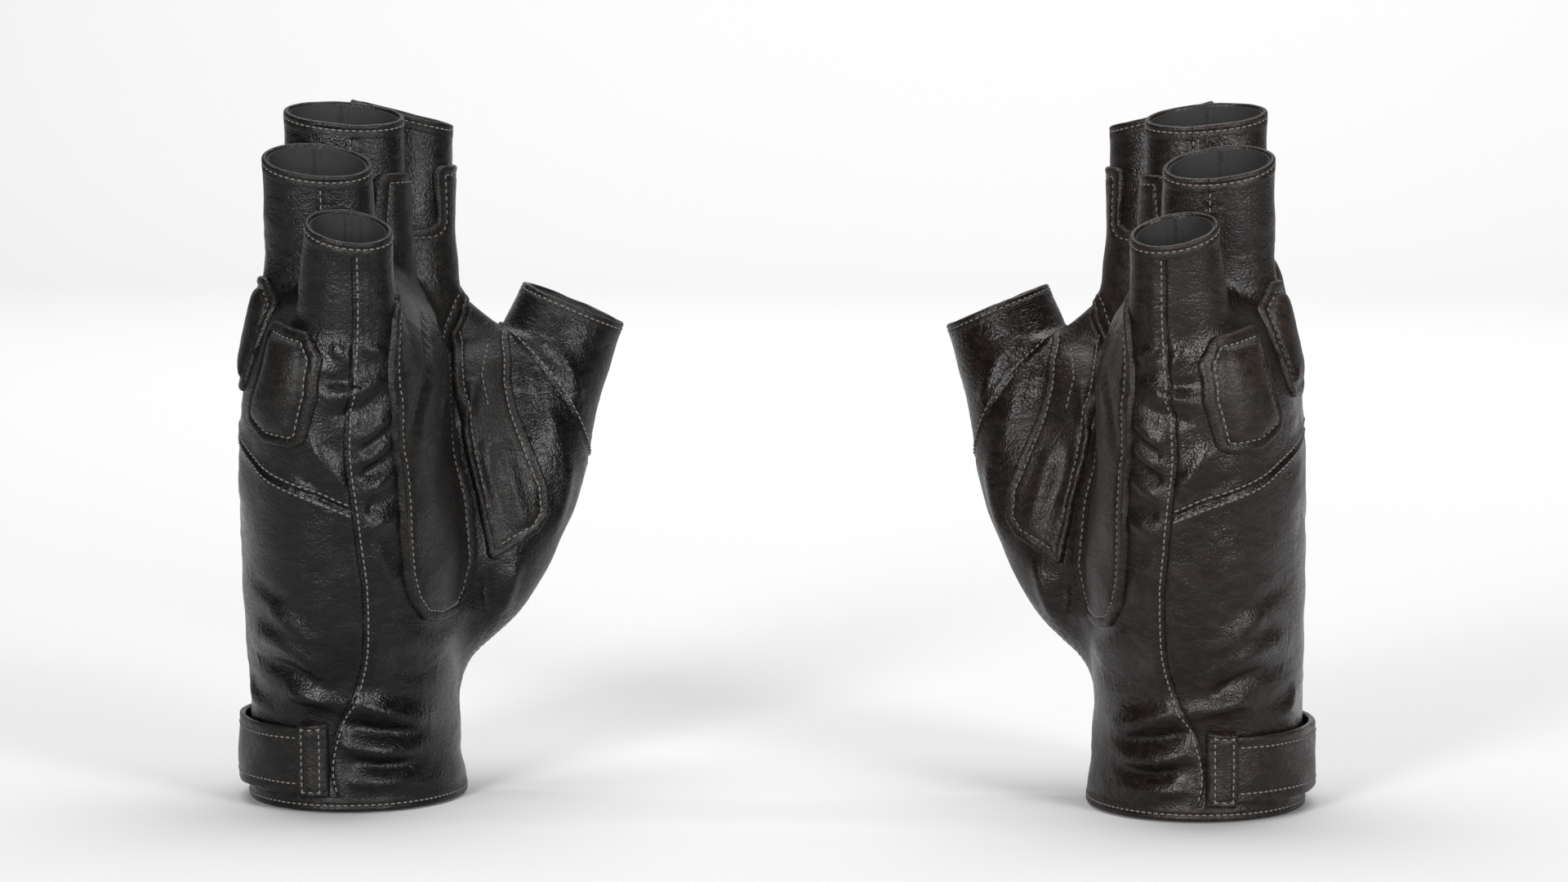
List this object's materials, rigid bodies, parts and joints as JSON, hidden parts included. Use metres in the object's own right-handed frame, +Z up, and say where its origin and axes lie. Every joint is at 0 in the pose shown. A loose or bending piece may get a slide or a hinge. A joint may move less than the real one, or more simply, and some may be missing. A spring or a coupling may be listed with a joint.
{
  "type": "fingerless gloves",
  "caption": "Pair of fingerless leather gloves standing on their wrist hems, with padded knuckles, palm patches and a wrist strap.",
  "frame": {"origin": "the middle of the pair's box, on the ground the wrist hems stand on", "axes": "+X from the right-hand glove to the left-hand glove, +Y from the little fingers to the thumbs, +Z up from the wrists to the fingers"},
  "size_m": [0.288, 0.1194, 0.1849],
  "materials": {
    "right_leather": "near-black grained leather with a worn gloss",
    "right_trim": "dark brown-black smooth leather, semi-matt",
    "left_leather": "near-black leather with a warm brown cast and a worn gloss",
    "left_trim": "dark brown smooth leather, semi-matt",
    "foam": "soft foam sheet",
    "tape": "woven hook and loop tape",
    "lining": "thin matt lining",
    "thread": "waxed grey thread"
  },
  "bodies": {
    "right_glove": {"right_palm_panel": "right_leather", "right_back_lower_panel": "right_leather", "right_back_upper_panel": "right_leather", "right_wrist_binding": "right_trim", "right_palm_patch": "right_trim", "right_thenar_patch": "right_trim", "right_index_knuckle_pad": "right_trim", "right_middle_knuckle_pad": "right_trim", "right_ring_knuckle_pad": "right_trim", "right_pinky_knuckle_pad": "right_trim", "right_knuckle_foam": "foam", "right_strap_anchor": "right_trim", "right_strap_keeper": "right_trim", "right_loop_tape": "tape"},
    "right_index": {"right_index_stall": "right_leather", "right_index_rim": "right_trim", "right_index_tab": "right_trim"},
    "right_middle": {"right_middle_stall": "right_leather", "right_middle_rim": "right_trim", "right_middle_tab": "right_trim"},
    "right_ring": {"right_ring_stall": "right_leather", "right_ring_rim": "right_trim"},
    "right_pinky": {"right_pinky_stall": "right_leather", "right_pinky_rim": "right_trim"},
    "right_thumb": {"right_thumb_stall": "right_leather", "right_thumb_rim": "right_trim"},
    "right_flap": {"right_strap_flap": "right_trim", "right_hook_tape": "tape"},
    "left_glove": {"left_palm_panel": "left_leather", "left_back_lower_panel": "left_leather", "left_back_upper_panel": "left_leather", "left_wrist_binding": "left_trim", "left_palm_patch": "left_trim", "left_thenar_patch": "left_trim", "left_index_knuckle_pad": "left_trim", "left_middle_knuckle_pad": "left_trim", "left_ring_knuckle_pad": "left_trim", "left_pinky_knuckle_pad": "left_trim", "left_knuckle_foam": "foam", "left_strap_anchor": "left_trim", "left_strap_keeper": "left_trim", "left_loop_tape": "tape"},
    "left_index": {"left_index_stall": "left_leather", "left_index_rim": "left_trim", "left_index_tab": "left_trim"},
    "left_middle": {"left_middle_stall": "left_leather", "left_middle_rim": "left_trim", "left_middle_tab": "left_trim"},
    "left_ring": {"left_ring_stall": "left_leather", "left_ring_rim": "left_trim"},
    "left_pinky": {"left_pinky_stall": "left_leather", "left_pinky_rim": "left_trim"},
    "left_thumb": {"left_thumb_stall": "left_leather", "left_thumb_rim": "left_trim"},
    "left_flap": {"left_strap_flap": "left_trim", "left_hook_tape": "tape"}
  },
  "joints": [
    {"name": "right_index_flex", "type": "hinge", "parent": "right_glove", "child": "right_index", "pos_m": [-0.08625, 0.02319, 0.153], "axis": [0, 0.9969, -0.0791], "range_deg": [0, 50], "stiffness_Nm_per_rad": 0.02},
    {"name": "right_middle_flex", "type": "hinge", "parent": "right_glove", "child": "right_middle", "pos_m": [-0.09507, -0.0006, 0.153], "axis": [0, 0.9988, 0.0499], "range_deg": [0, 50], "stiffness_Nm_per_rad": 0.02},
    {"name": "right_ring_flex", "type": "hinge", "parent": "right_glove", "child": "right_ring", "pos_m": [-0.10084, -0.02445, 0.1495], "axis": [0, 0.9858, 0.1682], "range_deg": [0, 50], "stiffness_Nm_per_rad": 0.02},
    {"name": "right_pinky_flex", "type": "hinge", "parent": "right_glove", "child": "right_pinky", "pos_m": [-0.0936, -0.04576, 0.1385], "axis": [0, 0.9659, 0.259], "range_deg": [0, 50], "stiffness_Nm_per_rad": 0.02},
    {"name": "right_thumb_flex", "type": "hinge", "parent": "right_glove", "child": "right_thumb", "pos_m": [-0.0614, 0.02115, 0.1101], "axis": [0.5937, 0, -0.8047], "range_deg": [0, 35], "stiffness_Nm_per_rad": 0.02},
    {"name": "right_strap_peel", "type": "hinge", "parent": "right_glove", "child": "right_flap", "pos_m": [-0.1433, 0.01435, 0.0136], "axis": [0, 0, 1], "range_deg": [0, 75], "stiffness_Nm_per_rad": 0.01},
    {"name": "left_index_flex", "type": "hinge", "parent": "left_glove", "child": "left_index", "pos_m": [0.08625, 0.02319, 0.153], "axis": [0, -0.9969, 0.0791], "range_deg": [0, 50], "stiffness_Nm_per_rad": 0.02},
    {"name": "left_middle_flex", "type": "hinge", "parent": "left_glove", "child": "left_middle", "pos_m": [0.09507, -0.0006, 0.153], "axis": [0, -0.9988, -0.0499], "range_deg": [0, 50], "stiffness_Nm_per_rad": 0.02},
    {"name": "left_ring_flex", "type": "hinge", "parent": "left_glove", "child": "left_ring", "pos_m": [0.10084, -0.02445, 0.1495], "axis": [0, -0.9858, -0.1682], "range_deg": [0, 50], "stiffness_Nm_per_rad": 0.02},
    {"name": "left_pinky_flex", "type": "hinge", "parent": "left_glove", "child": "left_pinky", "pos_m": [0.0936, -0.04576, 0.1385], "axis": [0, -0.9659, -0.259], "range_deg": [0, 50], "stiffness_Nm_per_rad": 0.02},
    {"name": "left_thumb_flex", "type": "hinge", "parent": "left_glove", "child": "left_thumb", "pos_m": [0.0614, 0.02115, 0.1101], "axis": [0.5937, 0, 0.8047], "range_deg": [0, 35], "stiffness_Nm_per_rad": 0.02},
    {"name": "left_strap_peel", "type": "hinge", "parent": "left_glove", "child": "left_flap", "pos_m": [0.1433, 0.01435, 0.0136], "axis": [0, 0, -1], "range_deg": [0, 75], "stiffness_Nm_per_rad": 0.01},
    {"name": "left_glove_apart", "type": "slide", "parent": "right_glove", "child": "left_glove", "axis": [1, 0, 0], "range_m": [0, 0.1]}
  ]
}
